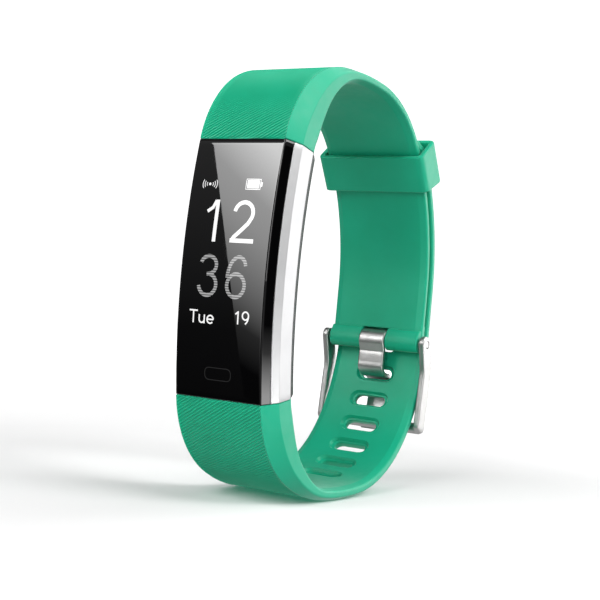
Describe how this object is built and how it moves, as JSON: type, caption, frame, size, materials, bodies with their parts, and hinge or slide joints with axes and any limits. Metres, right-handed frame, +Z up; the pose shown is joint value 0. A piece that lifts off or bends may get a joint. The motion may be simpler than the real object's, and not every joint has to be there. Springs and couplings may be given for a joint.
{
  "type": "fitness tracker band",
  "caption": "Wrist-worn fitness tracker: slim curved display module on a silicone band closed into a loop by a pin buckle and a sliding keeper.",
  "frame": {"origin": "middle of the bottom of the whole object's box, where the closed band stands on its strap", "axes": "+X across the band to the wearer's side with the buckle's right arm, +Y from the display to the buckle, +Z up along the module"},
  "size_m": [0.0226, 0.0592, 0.074],
  "materials": {
    "silicone": "moulded silicone, fine satin skin",
    "lens": "polished black",
    "oled": "black display panel",
    "case_plastic": "fine matt black",
    "trim": "satin silver plating on moulded plastic",
    "seal_rubber": "matt",
    "wire": "red insulation",
    "flex": "amber film",
    "battery_foil": "foil",
    "board": "solder mask",
    "chip": "epoxy",
    "steel": "brushed",
    "led": "clear epoxy",
    "gold": "gold plated"
  },
  "bodies": {
    "tracker": {"display_lens": "lens", "chassis": "case_plastic", "side_trim_left": "trim", "side_trim_right": "trim", "rear_cover": "case_plastic", "case_seal": "seal_rubber", "sensor_window": "lens", "oled_panel": "oled", "panel_bracket": "case_plastic", "panel_flex": "flex", "battery": "battery_foil", "battery_wire_positive": "wire", "battery_wire_negative": "seal_rubber", "main_board": "board", "processor_chip": "chip", "memory_chip": "chip", "motion_sensor": "chip", "clock_crystal": "steel", "radio_antenna": "battery_foil", "charge_chip": "chip", "green_led_upper": "led", "green_led_lower": "led", "photodiode": "chip", "light_barrier_upper": "case_plastic", "light_barrier_lower": "case_plastic", "touch_pad": "flex", "touch_spring": "gold", "motor_can": "steel", "motor_cover": "battery_foil", "usb_tongue": "case_plastic", "usb_contact_1": "gold", "usb_contact_2": "gold", "usb_contact_3": "gold", "usb_contact_4": "gold", "upper_strap": "silicone", "lower_strap": "silicone", "buckle_pin": "steel"},
    "keeper": {"keeper": "silicone"},
    "buckle": {"buckle_frame": "steel"},
    "tongue": {"buckle_tongue": "steel"},
    "motor_rotor": {"motor_weight": "steel", "motor_shaft": "steel"}
  },
  "joints": [
    {"name": "keeper_slide", "type": "hinge", "parent": "tracker", "child": "keeper", "pos_m": [0, -0.01644, 0.03815], "axis": [-1, 0, 0], "range_deg": [-2, 30]},
    {"name": "buckle_hinge", "type": "hinge", "parent": "tracker", "child": "buckle", "pos_m": [0, 0.02481, 0.02805], "axis": [1, 0, 0], "range_deg": [0, 4]},
    {"name": "tongue_hinge", "type": "hinge", "parent": "buckle", "child": "tongue", "pos_m": [0, 0.02481, 0.02805], "axis": [1, 0, 0], "range_deg": [0, 3]},
    {"name": "motor_spin", "type": "hinge", "parent": "tracker", "child": "motor_rotor", "pos_m": [0, -0.02378, 0.02345], "axis": [0, 1, 0], "continuous": true}
  ]
}
